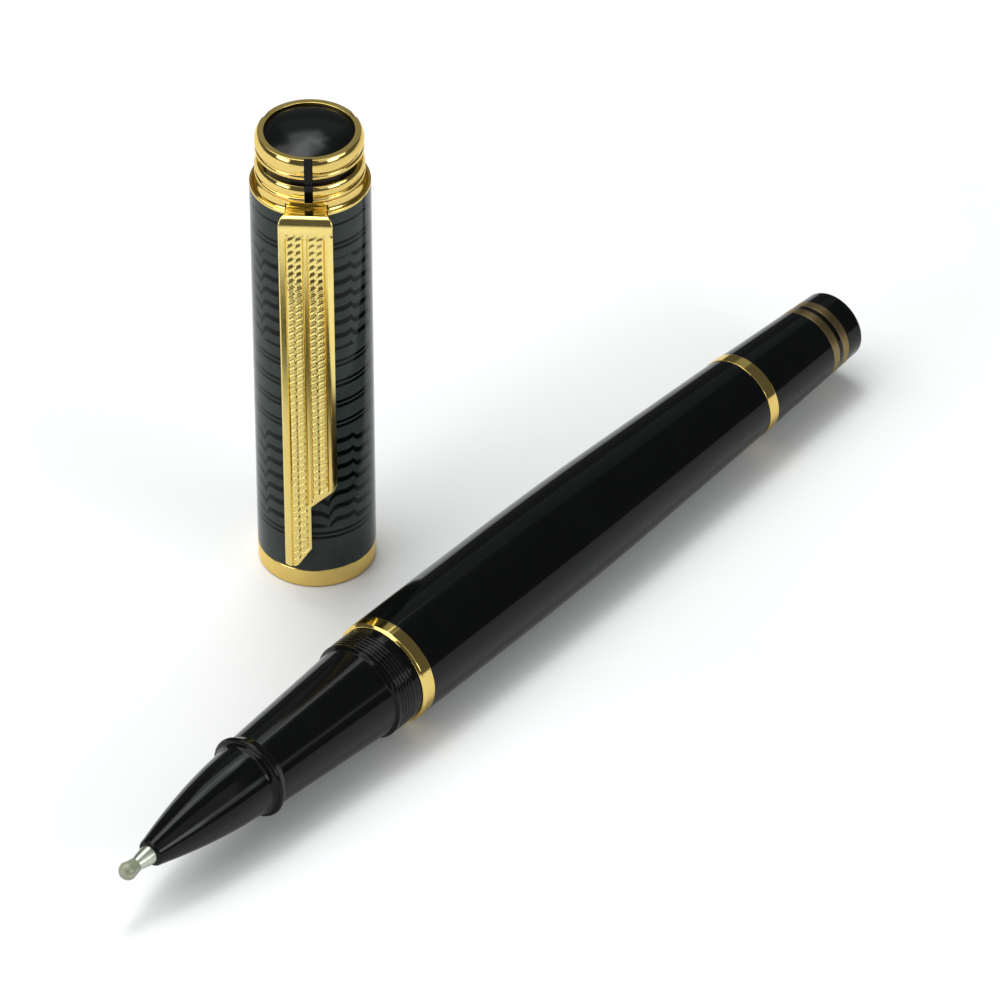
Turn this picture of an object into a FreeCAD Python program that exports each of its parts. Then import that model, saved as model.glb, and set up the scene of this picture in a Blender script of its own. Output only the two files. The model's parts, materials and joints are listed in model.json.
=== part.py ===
import FreeCAD, Part
import os

import Sketcher

# A capped rollerball pen, in millimetres. The pen lies uncapped along X with its writing tip towards -X,
# and its cap stands on its mouth beside it. Stations along the pen are measured from the front edge of the
# metal point, inside the bead that protects the ball; heights up the cap are measured from its mouth.

SIZES = [
    ("tail_end_at", 120.5),
    ("barrel_radius", 6.06),
    ("pen_axis_y", -12.11),
    ("cap_axis_x", -1.35),
    ("cap_axis_y", 11.67),
    ("cap_radius", 6.5),
    # writing end
    ("bead_tip_at", -0.8),
    ("bead_radius", 1.02),
    ("bead_centre", 0.22),
    ("bead_skirt_at", 0.98),
    ("bead_skirt_radius", 0.87),
    ("bead_end", 1.4),
    ("bead_end_radius", 0.8),
    ("bead_mouth_radius", 0.73),
    ("bead_core_at", 0.0),
    ("bead_core_radius", 0.46),
    ("bead_pocket_at", -0.25),
    ("bead_pocket_radius", 0.3),
    ("bead_shoulder_at", -0.5),
    ("bead_shoulder_radius", 0.721),
    ("ball_centre", 0.15),
    ("ball_radius", 0.35),
    ("socket_mouth_at", 0.0),
    ("socket_mouth_radius", 0.34),
    ("socket_belly_at", 0.17),
    ("socket_belly_radius", 0.375),
    ("socket_cone_at", 0.34),
    ("socket_cone_radius", 0.33),
    ("socket_floor_at", 0.5),
    ("point_front_radius", 0.42),
    ("point_waist_at", 1.2),
    ("point_waist_radius", 0.66),
    ("point_shoulder_at", 3.8),
    ("point_radius", 1.1),
    ("point_back_at", 13.0),
    ("ink_channel_radius", 0.2),
    ("feed_pocket_at", 5.0),
    ("feed_bore_radius", 0.6),
    # refill
    ("holder_front_at", 8.0),
    ("holder_neck_radius", 1.75),
    ("holder_cone_at", 12.5),
    ("refill_front_at", 17.0),
    ("refill_radius", 3.1),
    ("refill_bore_radius", 2.75),
    ("holder_plug_at", 20.0),
    ("rod_front_at", 5.2),
    ("rod_back_at", 27.9),
    ("rod_radius", 0.55),
    ("reservoir_radius", 2.7),
    ("reservoir_pocket_at", 28.0),
    ("refill_plug_at", 106.5),
    ("refill_rim_at", 110.3),
    ("refill_back_at", 111.5),
    ("refill_boss_at", 112.8),
    ("refill_boss_radius", 1.9),
    ("coil_radius", 2.4),
    ("coil_turns", 6),
    ("wire_radius", 0.25),
    # nose cone
    ("nose_front_at", 3.6),
    ("nose_bore_radius", 1.15),
    ("nose_lip_radius", 1.28),
    ("nose_round_at", 3.68),
    ("nose_round_radius", 1.46),
    ("nose_edge_at", 3.85),
    ("nose_edge_radius", 1.55),
    ("nose_belly_at", 11.1),
    ("nose_belly_radius", 3.13),
    ("nose_back_at", 17.4),
    ("nose_back_radius", 3.9),
    ("flange_front_at", 18.45),
    ("flange_front_radius", 3.98),
    ("flange_cove_at", 18.95),
    ("flange_cove_radius", 4.16),
    ("flange_lip_at", 19.2),
    ("flange_lip_radius", 4.55),
    ("flange_top_at", 19.5),
    ("flange_top_radius", 4.77),
    ("flange_fall_at", 19.85),
    ("flange_fall_radius", 4.6),
    ("flange_back_at", 20.55),
    ("spigot_radius", 3.9),
    ("spigot_back_at", 28.0),
    ("section_bore_radius", 3.25),
    ("nose_cone_bore_at", 16.97),
    ("nose_neck_bore_at", 12.3),
    ("nose_neck_bore_radius", 1.85),
    ("nose_step_at", 7.6),
    ("nose_throat_at", 6.5),
    # grip section
    ("grip_front_radius", 4.31),
    ("grip_back_at", 37.15),
    ("grip_back_radius", 5.32),
    ("cap_thread_at", 37.45),
    ("cap_thread_radius", 5.7),
    ("grip_end_at", 41.15),
    ("insert_bore_radius", 3.35),
    ("insert_front_at", 33.0),
    ("insert_radius", 4.4),
    ("insert_back_at", 50.0),
    ("cap_thread_pitch", 0.45),
    ("cap_thread_depth", 0.16),
    ("cap_thread_half_width", 0.12),
    ("cap_thread_turns", 6),
    ("grip_groove_at", 37.75),
    ("screw_thread_pitch", 0.75),
    ("screw_thread_depth", 0.3),
    ("screw_thread_half_width", 0.25),
    ("insert_thread_turns", 10),
    ("bush_thread_turns", 12),
    ("insert_groove_at", 42.0),
    ("bush_groove_at", 42.4),
    # barrel
    ("bush_front_at", 41.35),
    ("bush_radius", 5.1),
    ("bush_bore_radius", 4.45),
    ("bush_back_at", 51.5),
    ("ring_front_at", 41.2),
    ("ring_bevel_radius", 5.82),
    ("ring_bevel_at", 41.48),
    ("ring_back_at", 42.9),
    ("barrel_straight_end", 62.0),
    ("barrel_shoulder_at", 70.5),
    ("barrel_shoulder_radius", 5.99),
    ("barrel_taper_at", 79.0),
    ("barrel_taper_radius", 5.79),
    ("barrel_back_at", 102.5),
    ("barrel_back_radius", 4.92),
    ("barrel_bore_back_at", 76.0),
    ("barrel_seat_at", 95.0),
    ("barrel_bore_radius", 4.0),
    ("rear_ring_front_radius", 4.99),
    ("rear_ring_back_at", 104.05),
    ("rear_ring_back_radius", 4.93),
    # tail
    ("tail_spigot_at", 96.0),
    ("tail_bore_radius", 3.35),
    ("tail_front_radius", 4.87),
    ("tail_floor_at", 118.6),
    ("tail_edge_at", 120.0),
    ("tail_edge_radius", 4.1),
    ("tail_round_at", 120.36),
    ("tail_round_radius", 3.95),
    ("tail_face_radius", 3.6),
    ("band_floor_radius", 4.0),
    ("band_one_at", 114.95),
    ("band_one_front_radius", 4.344),
    ("band_one_end", 116.05),
    ("band_one_back_radius", 4.291),
    ("band_two_at", 116.7),
    ("band_two_front_radius", 4.259),
    ("band_two_end", 117.8),
    ("band_two_back_radius", 4.206),
    ("band_cut_radius", 4.6),
    # cap mouth
    ("lip_bore_radius", 5.85),
    ("lip_face_radius", 6.1),
    ("lip_round_at", 0.12),
    ("lip_round_radius", 6.38),
    ("lip_corner_at", 0.4),
    ("lip_bevel_at", 2.3),
    ("lip_height", 2.4),
    ("lip_bevel_radius", 6.4),
    ("cap_bore_radius", 6.15),
    ("liner_bore_radius", 5.8),
    ("liner_top", 14.0),
    ("liner_groove_at", 1.6),
    ("inner_cap_collar_top", 18.0),
    ("inner_cap_radius", 5.75),
    ("inner_cap_bore_radius", 5.3),
    ("inner_cap_ceiling", 45.5),
    ("inner_cap_top", 47.0),
    # cap top
    ("screw_head_at", 47.1),
    ("screw_head_radius", 2.6),
    ("bulkhead_at", 48.2),
    ("screw_hole_radius", 1.5),
    ("screw_shank_radius", 1.45),
    ("screw_top", 55.3),
    ("tube_top", 50.6),
    ("collar_edge_at", 50.82),
    ("collar_bead_at", 51.0),
    ("collar_bead_radius", 6.3),
    ("collar_valley_radius", 6.12),
    ("collar_sweep_at", 51.2),
    ("collar_sweep_radius", 5.93),
    ("collar_neck_radius", 5.84),
    ("collar_top", 51.9),
    ("ring_hub_radius", 4.6),
    ("lower_bead_root_radius", 5.75),
    ("lower_bead_at", 52.2),
    ("lower_bead_radius", 5.92),
    ("lower_valley_at", 52.5),
    ("lower_band_at", 53.1),
    ("lower_band_radius", 5.91),
    ("lower_ring_top", 53.9),
    ("lower_top_radius", 5.6),
    ("core_radius", 5.25),
    ("bezel_at", 54.8),
    ("bezel_foot_radius", 5.62),
    ("bezel_bead_at", 55.1),
    ("bezel_bead_radius", 5.83),
    ("bezel_valley_at", 55.45),
    ("bezel_valley_radius", 5.68),
    ("bezel_band_at", 56.3),
    ("bezel_band_radius", 5.85),
    ("bezel_top", 57.3),
    ("bezel_top_radius", 5.5),
    ("jewel_seat_at", 55.6),
    ("jewel_radius", 4.86),
    ("jewel_edge_at", 57.0),
    ("jewel_dome_at", 57.743),
    ("jewel_dome_radius", 2.5),
    ("jewel_crown", 58.0),
    ("slot_floor_radius", 5.2),
    ("slot_reach", 6.4),
    ("slot_width", 0.92),
    ("finial_turn", 39.2),
    ("inlay_radius", 5.35),
    # clip
    ("clip_turn", 36.5),
    ("tang_bottom", 50.65),
    ("tang_top", 51.45),
    ("tang_back", -3.0),
    ("tang_end", 7.0),
    ("tang_width", 4.4),
    ("notch_back", -3.1),
    ("notch_end", 7.2),
    ("notch_top", 52.1),
    ("notch_width", 4.6),
    ("neck_start", 7.05),
    ("neck_end", 7.7),
    ("neck_bottom", 50.75),
    ("clip_width", 5.8),
    ("clip_foot", 3.7),
    ("clip_foot_inner", 6.65),
    ("clip_foot_outer", 7.45),
    ("clip_shoulder", 50.2),
    ("clip_shoulder_inner", 7.44),
    ("clip_bend_at", 50.75),
    ("clip_bend_outer", 8.25),
    ("clip_arch_at", 51.25),
    ("clip_arch_outer", 8.03),
    ("clip_crown_inner", 7.5),
    ("clip_hip_at", 15.9),
    ("clip_hip_round_at", 14.75),
    ("clip_hip_round_out", -2.66),
    ("clip_hip_corner_at", 14.1),
    ("clip_hip_corner_out", -2.2),
    ("clip_crotch_at", 12.1),
    ("clip_crotch_out", -0.05),
    ("clip_toe_corner_at", 6.3),
    ("clip_toe_at", 3.7),
    ("clip_toe_out", 1.6),
    ("clip_heel_at", 4.05),
    ("clip_heel_out", 2.6),
    ("clip_side", 2.9),
    ("clip_clear", 3.6),
    ("clip_below", 3.0),
]
VALUE = dict(SIZES)

doc = FreeCAD.newDocument("RollerballPen")
sheet = doc.addObject("Spreadsheet::Sheet", "Sizes")
for row, (alias, size) in enumerate(SIZES, start=1):
    sheet.set("A%d" % row, alias)
    sheet.set("B%d" % row, str(size))
    sheet.setAlias("B%d" % row, alias)
doc.recompute()

MID_STATION = (VALUE["bead_tip_at"] + VALUE["tail_end_at"]) / 2
# Stations run along local X. The pen lies along X, and resting on the floor puts its axis one radius up.
PEN_PLACE = FreeCAD.Placement(
    FreeCAD.Vector(-MID_STATION, VALUE["pen_axis_y"], VALUE["barrel_radius"]),
    FreeCAD.Rotation(),
)


def standing(turn):
    """Turns a piece's long axis from local X to +Z, and its front, local +Z, to a side of the cap."""
    return FreeCAD.Placement(
        FreeCAD.Vector(VALUE["cap_axis_x"], VALUE["cap_axis_y"], 0),
        FreeCAD.Rotation(FreeCAD.Vector(0, 0, 1), VALUE[turn]).multiply(
            FreeCAD.Rotation(FreeCAD.Vector(0, 1, 0), -90)
        ),
    )


CAP_PLACE = standing("clip_turn")
FINIAL_PLACE = standing("finial_turn")  # the slotted rings sit a little further round than the clip
PIECES = {}


def number(formula):
    """The present value of a sum of named sizes, such as "liner_top - lip_height"; "0" is zero."""
    total, sign = 0.0, 1
    for word in formula.split():
        if word in ("+", "-"):
            sign = 1 if word == "+" else -1
        elif word != "0":
            total += sign * VALUE[word]
    return total


def cells(formula):
    """The same sum as an expression on the sheet's cells."""
    return " ".join(word if word in ("+", "-", "0") else "Sizes." + word for word in formula.split())


def new_body(label, place):
    """An empty body for one sub-part, listed under its label."""
    body = doc.addObject("PartDesign::Body", label)
    body.Label = label
    body.Placement = place
    PIECES[label] = body
    return body


def origin_feature(body, role):
    """One of the body's own origin planes or axes."""
    return [feature for feature in body.Origin.OriginFeatures if feature.Role == role][0]


def new_sketch(body, role, name):
    """A sketch on one of the body's own origin planes."""
    sketch = body.newObject("Sketcher::SketchObject", body.Label + "_" + name)
    sketch.AttachmentSupport = (origin_feature(body, role), "")
    sketch.MapMode = "FlatFace"
    return sketch


def bind_point(sketch, edge, corner, formulas):
    """Ties one end of a sketch edge to its two formulas."""
    for kind, formula in zip(("DistanceX", "DistanceY"), formulas):
        index = sketch.addConstraint(Sketcher.Constraint(kind, -1, 1, edge, corner, number(formula)))
        if formula != "0":
            sketch.setExpression("Constraints[%d]" % index, cells(formula))


def arc(x, y, via_x, via_y):
    """An outline entry: a circular arc into the corner (x, y), by way of a point on it."""
    return (x, y, "arc", via_x, via_y)


def curve(x, y, via_x, via_y):
    """An outline entry: a parabola into the corner (x, y), by way of the point at its middle."""
    return (x, y, "curve", via_x, via_y)


def draw_arc(sketch, start, end, entry, meets_axis):
    """An arc edge. One that meets the long axis is part of a ball, so its centre is put on the axis."""
    via = FreeCAD.Vector(number(entry[3]), number(entry[4]), 0)
    edge = sketch.addGeometry(Part.Arc(start, via, end), False)
    if meets_axis:
        sketch.addConstraint(Sketcher.Constraint("PointOnObject", edge, 3, -1))
    else:
        mark = sketch.addGeometry(Part.Point(via), True)
        bind_point(sketch, mark, 1, entry[3:])
        sketch.addConstraint(Sketcher.Constraint("PointOnObject", mark, 1, edge))
    # An arc always runs anticlockwise, so its two ends may have changed places.
    last = 2 if sketch.getPoint(edge, 2).distanceToPoint(end) < 1e-6 else 1
    return edge, last


def draw_curve(sketch, start, end, before, entry):
    """A parabola, as a spline of three poles; its middle pole is worked out on the sheet."""
    via = FreeCAD.Vector(number(entry[3]), number(entry[4]), 0)
    poles = [start, via * 2 - (start + end) * 0.5, end]
    edge = sketch.addGeometry(Part.BSplineCurve(poles, None, None, False, 2, None, False), False)
    for index, pole in enumerate(poles):
        handle = sketch.addGeometry(Part.Circle(pole, FreeCAD.Vector(0, 0, 1), 1), True)
        sketch.addConstraint(Sketcher.Constraint("Weight", handle, 1.0))
        sketch.addConstraint(Sketcher.Constraint(
            "InternalAlignment:Sketcher::BSplineControlPoint", handle, 3, edge, index))
        if index == 1:
            for axis, kind in enumerate(("DistanceX", "DistanceY")):
                spot = sketch.addConstraint(Sketcher.Constraint(kind, -1, 1, handle, 3, pole[axis]))
                formula = "2 * (%s) - ((%s) + (%s)) / 2"
                terms = (entry[3 + axis], before[axis], entry[axis])
                sketch.setExpression("Constraints[%d]" % spot, formula % tuple(cells(term) for term in terms))
    return edge, 2


def draw_outline(sketch, outline):
    """A closed outline of corners (x, y), each reached by a straight edge or by an arc() or curve()."""
    points = [FreeCAD.Vector(number(entry[0]), number(entry[1]), 0) for entry in outline]
    edges = []
    for index, entry in enumerate(outline):
        start, end, before = points[index - 1], points[index], outline[index - 1]
        if "arc" in entry:
            edges.append(draw_arc(sketch, start, end, entry, "0" in (before[1], entry[1])))
        elif "curve" in entry:
            edges.append(draw_curve(sketch, start, end, before, entry))
        else:
            edges.append((sketch.addGeometry(Part.LineSegment(start, end), False), 2))
    for index, (edge, last) in enumerate(edges):
        bind_point(sketch, edge, last, outline[index][:2])
        after, after_last = edges[(index + 1) % len(edges)]
        sketch.addConstraint(Sketcher.Constraint("Coincident", edge, last, after, 3 - after_last))


def turned(label, place, outline):
    """A sub-part turned about its long axis, from an outline of (station, radius) corners."""
    body = new_body(label, place)
    sketch = new_sketch(body, "XY_Plane", "profile")
    draw_outline(sketch, outline)
    turn = body.newObject("PartDesign::Revolution", label + "_turn")
    turn.Profile = sketch
    turn.ReferenceAxis = (sketch, ["H_Axis"])
    turn.Angle = 360
    return body


def require_cut(body, before, what):
    """Stops the script if the newest feature took nothing away."""
    doc.recompute()
    if body.Shape.Volume >= before - 1e-6:
        raise RuntimeError("%s: the %s cuts nothing" % (body.Label, what))


def ring_cut(body, name, outline):
    """Cuts a groove right round the piece, with the outline (station, radius) as its section."""
    doc.recompute()
    before = body.Shape.Volume
    sketch = new_sketch(body, "XY_Plane", name)
    draw_outline(sketch, outline)
    groove = body.newObject("PartDesign::Groove", body.Label + "_" + name + "_cut")
    groove.Profile = sketch
    groove.ReferenceAxis = (sketch, ["H_Axis"])
    groove.Angle = 360
    require_cut(body, before, name)
    return groove


def thread(body, kind, start, wall, turns, inside=False):
    """Rings of V grooves that stand for a screw thread on an outer wall or, with inside, in a bore."""
    depth, half_width, pitch = (kind + "_thread_" + size for size in ("depth", "half_width", "pitch"))
    into, out = (" + ", " - ") if inside else (" - ", " + ")
    groove = ring_cut(body, "thread", [
        (start + " - " + half_width, wall),
        (start, wall + into + depth),
        (start + " + " + half_width, wall),
        (start + " + " + half_width, wall + out + half_width),
        (start + " - " + half_width, wall + out + half_width),
    ])
    pattern = body.newObject("PartDesign::LinearPattern", body.Label + "_thread_turns")
    pattern.Originals = [groove]
    pattern.Direction = (origin_feature(body, "X_Axis"), [""])
    pattern.Mode = "Spacing"
    pattern.setExpression("Offset", cells(pitch))
    pattern.setExpression("Occurrences", cells(turns))
    body.Tip = pattern


def milled(label, place, outline, width):
    """A plate-like sub-part: a side view (station, height) given a width, half to each side."""
    body = new_body(label, place)
    add_pad(body, "side", outline, width)
    return body


def add_pad(body, name, outline, width):
    """Adds a side view (station, height) given a width, half to each side."""
    sketch = new_sketch(body, "XZ_Plane", name)
    draw_outline(sketch, outline)
    pad = body.newObject("PartDesign::Pad", body.Label + "_" + name + "_pad")
    pad.Profile = sketch
    pad.SideType = "Symmetric"
    pad.setExpression("Length", cells(width))
    return pad


def slot_cut(body, name, outline, width):
    """Cuts a slot through the piece, with the outline (station, height) as its side view."""
    doc.recompute()
    before = body.Shape.Volume
    sketch = new_sketch(body, "XZ_Plane", name)
    draw_outline(sketch, outline)
    pocket = body.newObject("PartDesign::Pocket", body.Label + "_" + name + "_cut")
    pocket.Profile = sketch
    pocket.SideType = "Symmetric"
    pocket.setExpression("Length", cells(width))
    require_cut(body, before, name)
    return pocket


def slots_at_thirds(body, bottom, top):
    """Three equal slots in a turned rim, one towards the clip and two at thirds of a turn from it."""
    slot = slot_cut(body, "slot", [
        (bottom, "slot_floor_radius"),
        (bottom, "slot_reach"),
        (top, "slot_reach"),
        (top, "slot_floor_radius"),
    ], "slot_width")
    repeat_at_thirds(body, [slot])


def repeat_at_thirds(body, features):
    """Repeats features at thirds of a turn round the piece's long axis."""
    pattern = body.newObject("PartDesign::PolarPattern", body.Label + "_thirds")
    pattern.Originals = features
    pattern.Axis = (origin_feature(body, "X_Axis"), [""])
    pattern.Angle = 360
    pattern.Occurrences = 3
    body.Tip = pattern


def build_writing_end():
    """The bead over the tip, the ball, and the metal point that holds the ball."""
    turned("tip_bead", PEN_PLACE, [
        ("bead_tip_at", "0"),
        arc("bead_centre", "bead_radius", "bead_shoulder_at", "bead_shoulder_radius"),
        curve("bead_end", "bead_end_radius", "bead_skirt_at", "bead_skirt_radius"),
        ("bead_end", "bead_mouth_radius"),
        ("bead_core_at", "bead_core_radius"),
        ("bead_pocket_at", "bead_pocket_radius"),
        ("bead_pocket_at", "0"),
    ])
    turned("writing_ball", PEN_PLACE, [
        ("ball_centre - ball_radius", "0"),
        arc("ball_centre + ball_radius", "0", "ball_centre", "ball_radius"),
    ])
    turned("refill_point", PEN_PLACE, [
        ("socket_mouth_at", "socket_mouth_radius"),
        ("socket_mouth_at", "point_front_radius"),
        ("point_waist_at", "point_waist_radius"),
        ("point_shoulder_at", "point_radius"),
        ("point_back_at", "point_radius"),
        ("point_back_at", "feed_bore_radius"),
        ("feed_pocket_at", "feed_bore_radius"),
        ("feed_pocket_at", "ink_channel_radius"),
        ("socket_floor_at", "ink_channel_radius"),
        ("socket_cone_at", "socket_cone_radius"),
        ("socket_belly_at", "socket_belly_radius"),
    ])


def build_refill():
    """The rest of the refill, from the nose holder back to the plug that the spring bears on."""
    turned("point_holder", PEN_PLACE, [
        ("holder_front_at", "point_radius"),
        ("holder_front_at", "holder_neck_radius"),
        ("holder_cone_at", "holder_neck_radius"),
        ("refill_front_at", "refill_radius"),
        ("refill_front_at", "refill_bore_radius"),
        ("holder_plug_at", "refill_bore_radius"),
        ("holder_plug_at", "feed_bore_radius"),
        ("point_back_at", "feed_bore_radius"),
        ("point_back_at", "point_radius"),
    ])
    turned("refill_tube", PEN_PLACE, [
        ("refill_front_at", "refill_bore_radius"),
        ("refill_front_at", "refill_radius"),
        ("refill_rim_at", "refill_radius"),
        ("refill_rim_at", "refill_bore_radius"),
    ])
    turned("feed_rod", PEN_PLACE, [
        ("rod_front_at", "0"),
        ("rod_front_at", "rod_radius"),
        ("rod_back_at", "rod_radius"),
        ("rod_back_at", "0"),
    ])
    turned("ink_reservoir", PEN_PLACE, [
        ("holder_plug_at", "feed_bore_radius"),
        ("holder_plug_at", "reservoir_radius"),
        ("refill_plug_at", "reservoir_radius"),
        ("refill_plug_at", "0"),
        ("reservoir_pocket_at", "0"),
        ("reservoir_pocket_at", "feed_bore_radius"),
    ])
    turned("refill_end_plug", PEN_PLACE, [
        ("refill_plug_at", "0"),
        ("refill_plug_at", "refill_bore_radius"),
        ("refill_rim_at", "refill_bore_radius"),
        ("refill_rim_at", "refill_radius"),
        ("refill_back_at", "refill_radius"),
        ("refill_back_at", "refill_boss_radius"),
        ("refill_boss_at", "refill_boss_radius"),
        ("refill_boss_at", "0"),
    ])


def build_section():
    """The front assembly that screws into the barrel: nose cone, grip and threaded insert."""
    turned("nose_cone", PEN_PLACE, [
        ("nose_front_at", "nose_bore_radius"),
        ("nose_front_at", "nose_lip_radius"),
        arc("nose_edge_at", "nose_edge_radius", "nose_round_at", "nose_round_radius"),
        curve("nose_back_at", "nose_back_radius", "nose_belly_at", "nose_belly_radius"),
        ("flange_front_at", "flange_front_radius"),
        arc("flange_lip_at", "flange_lip_radius", "flange_cove_at", "flange_cove_radius"),
        arc("flange_fall_at", "flange_fall_radius", "flange_top_at", "flange_top_radius"),
        ("flange_back_at", "grip_front_radius"),
        ("flange_back_at", "spigot_radius"),
        ("spigot_back_at", "spigot_radius"),
        ("spigot_back_at", "section_bore_radius"),
        ("nose_cone_bore_at", "section_bore_radius"),
        ("nose_neck_bore_at", "nose_neck_bore_radius"),
        ("nose_step_at", "nose_neck_bore_radius"),
        ("nose_throat_at", "nose_bore_radius"),
    ])
    grip = turned("grip_section", PEN_PLACE, [
        ("flange_back_at", "spigot_radius"),
        ("flange_back_at", "grip_front_radius"),
        ("grip_back_at", "grip_back_radius"),
        ("cap_thread_at", "cap_thread_radius"),
        ("grip_end_at", "cap_thread_radius"),
        ("grip_end_at", "insert_radius"),
        ("insert_front_at", "insert_radius"),
        ("insert_front_at", "insert_bore_radius"),
        ("spigot_back_at", "insert_bore_radius"),
        ("spigot_back_at", "spigot_radius"),
    ])
    thread(grip, "cap", "grip_groove_at", "cap_thread_radius", "cap_thread_turns")
    insert = turned("section_insert", PEN_PLACE, [
        ("insert_front_at", "insert_bore_radius"),
        ("insert_front_at", "insert_radius"),
        ("insert_back_at", "insert_radius"),
        ("insert_back_at", "insert_bore_radius"),
    ])
    thread(insert, "screw", "insert_groove_at", "insert_radius", "insert_thread_turns")


def build_barrel():
    """The barrel with its trim rings and the threaded bush that takes the section."""
    bush = turned("barrel_bush", PEN_PLACE, [
        ("bush_front_at", "bush_bore_radius"),
        ("bush_front_at", "bush_radius"),
        ("bush_back_at", "bush_radius"),
        ("bush_back_at", "bush_bore_radius"),
    ])
    thread(bush, "screw", "bush_groove_at", "bush_bore_radius", "bush_thread_turns", inside=True)
    turned("centre_ring", PEN_PLACE, [
        ("ring_front_at", "bush_radius"),
        ("ring_front_at", "ring_bevel_radius"),
        ("ring_bevel_at", "barrel_radius"),
        ("ring_back_at", "barrel_radius"),
        ("ring_back_at", "bush_radius"),
    ])
    turned("barrel_shell", PEN_PLACE, [
        ("ring_back_at", "bush_radius"),
        ("ring_back_at", "barrel_radius"),
        ("barrel_straight_end", "barrel_radius"),
        curve("barrel_taper_at", "barrel_taper_radius", "barrel_shoulder_at", "barrel_shoulder_radius"),
        ("barrel_back_at", "barrel_back_radius"),
        ("barrel_back_at", "barrel_bore_radius"),
        ("barrel_seat_at", "barrel_bore_radius"),
        ("barrel_bore_back_at", "bush_radius"),
    ])
    turned("rear_ring", PEN_PLACE, [
        ("barrel_back_at", "barrel_bore_radius"),
        ("barrel_back_at", "rear_ring_front_radius"),
        ("rear_ring_back_at", "rear_ring_back_radius"),
        ("rear_ring_back_at", "barrel_bore_radius"),
    ])


def build_tail():
    """The closed tail with its two inlaid bands, and the spring that presses on the refill."""
    tail = turned("tail_shell", PEN_PLACE, [
        ("tail_spigot_at", "tail_bore_radius"),
        ("tail_spigot_at", "barrel_bore_radius"),
        ("rear_ring_back_at", "barrel_bore_radius"),
        ("rear_ring_back_at", "tail_front_radius"),
        ("tail_edge_at", "tail_edge_radius"),
        arc("tail_end_at", "tail_face_radius", "tail_round_at", "tail_round_radius"),
        ("tail_end_at", "0"),
        ("tail_floor_at", "0"),
        ("tail_floor_at", "tail_bore_radius"),
    ])
    for order in ("one", "two"):
        start, end = "band_%s_at" % order, "band_%s_end" % order
        ring_cut(tail, "seat_" + order, [
            (start, "band_floor_radius"),
            (start, "band_cut_radius"),
            (end, "band_cut_radius"),
            (end, "band_floor_radius"),
        ])
        turned("tail_band_" + order, PEN_PLACE, [
            (start, "band_floor_radius"),
            (start, "band_%s_front_radius" % order),
            (end, "band_%s_back_radius" % order),
            (end, "band_floor_radius"),
        ])
    build_refill_spring()


def build_refill_spring():
    """A helical compression spring between the refill's end plug and the tail's closed end."""
    height = "(Sizes.tail_floor_at - Sizes.refill_back_at - 2 * Sizes.wire_radius)"
    helix = doc.addObject("Part::Helix", "spring_path")
    helix.setExpression("Pitch", height + " / Sizes.coil_turns")
    helix.setExpression("Radius", "Sizes.coil_radius")
    helix.setExpression("Height", height)
    helix.SegmentLength = 1  # one edge for each turn
    doc.recompute()
    wire = doc.addObject("Part::Circle", "spring_wire")
    wire.setExpression("Radius", "Sizes.wire_radius")
    wire.setExpression("Placement.Base.x", "Sizes.coil_radius")
    wire.Placement.Rotation = FreeCAD.Rotation(FreeCAD.Vector(1, 0, 0), 90)
    spring = doc.addObject("Part::Sweep", "refill_spring")
    spring.Label = "refill_spring"
    spring.Sections = [wire]
    spring.Spine = (helix, ["Edge%d" % (turn + 1) for turn in range(len(helix.Shape.Edges))])
    spring.Solid = True
    spring.Frenet = True
    along = FreeCAD.Vector(number("refill_back_at + wire_radius"), 0, 0)
    spring.Placement = PEN_PLACE.multiply(
        FreeCAD.Placement(along, FreeCAD.Rotation(FreeCAD.Vector(0, 1, 0), 90))
    )
    PIECES["refill_spring"] = spring


def build_cap_shells():
    """The cap's tube with its lip, its threaded liner and the inner cap that seals the tip."""
    turned("cap_lip_ring", CAP_PLACE, [
        ("0", "lip_bore_radius"),
        ("0", "lip_face_radius"),
        arc("lip_corner_at", "cap_radius", "lip_round_at", "lip_round_radius"),
        ("lip_bevel_at", "cap_radius"),
        ("lip_height", "lip_bevel_radius"),
        ("lip_height", "cap_bore_radius"),
        ("lip_corner_at", "cap_bore_radius"),
        ("lip_corner_at", "lip_bore_radius"),
    ])
    turned("cap_tube", CAP_PLACE, [
        ("lip_height", "cap_bore_radius"),
        ("lip_height", "cap_radius"),
        ("tube_top", "cap_radius"),
        ("tube_top", "cap_bore_radius"),
    ])
    liner = turned("cap_liner", CAP_PLACE, [
        ("lip_corner_at", "liner_bore_radius"),
        ("lip_corner_at", "cap_bore_radius"),
        ("liner_top", "cap_bore_radius"),
        ("liner_top", "liner_bore_radius"),
    ])
    thread(liner, "cap", "liner_groove_at", "liner_bore_radius", "cap_thread_turns", inside=True)
    turned("inner_cap", CAP_PLACE, [
        ("liner_top", "inner_cap_bore_radius"),
        ("liner_top", "cap_bore_radius"),
        ("inner_cap_collar_top", "cap_bore_radius"),
        ("inner_cap_collar_top", "inner_cap_radius"),
        ("inner_cap_top", "inner_cap_radius"),
        ("inner_cap_top", "0"),
        ("inner_cap_ceiling", "0"),
        ("inner_cap_ceiling", "inner_cap_bore_radius"),
    ])
    turned("cap_bulkhead", CAP_PLACE, [
        ("bulkhead_at", "screw_hole_radius"),
        ("bulkhead_at", "cap_bore_radius"),
        ("tube_top", "cap_bore_radius"),
        ("tube_top", "screw_hole_radius"),
    ])


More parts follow.
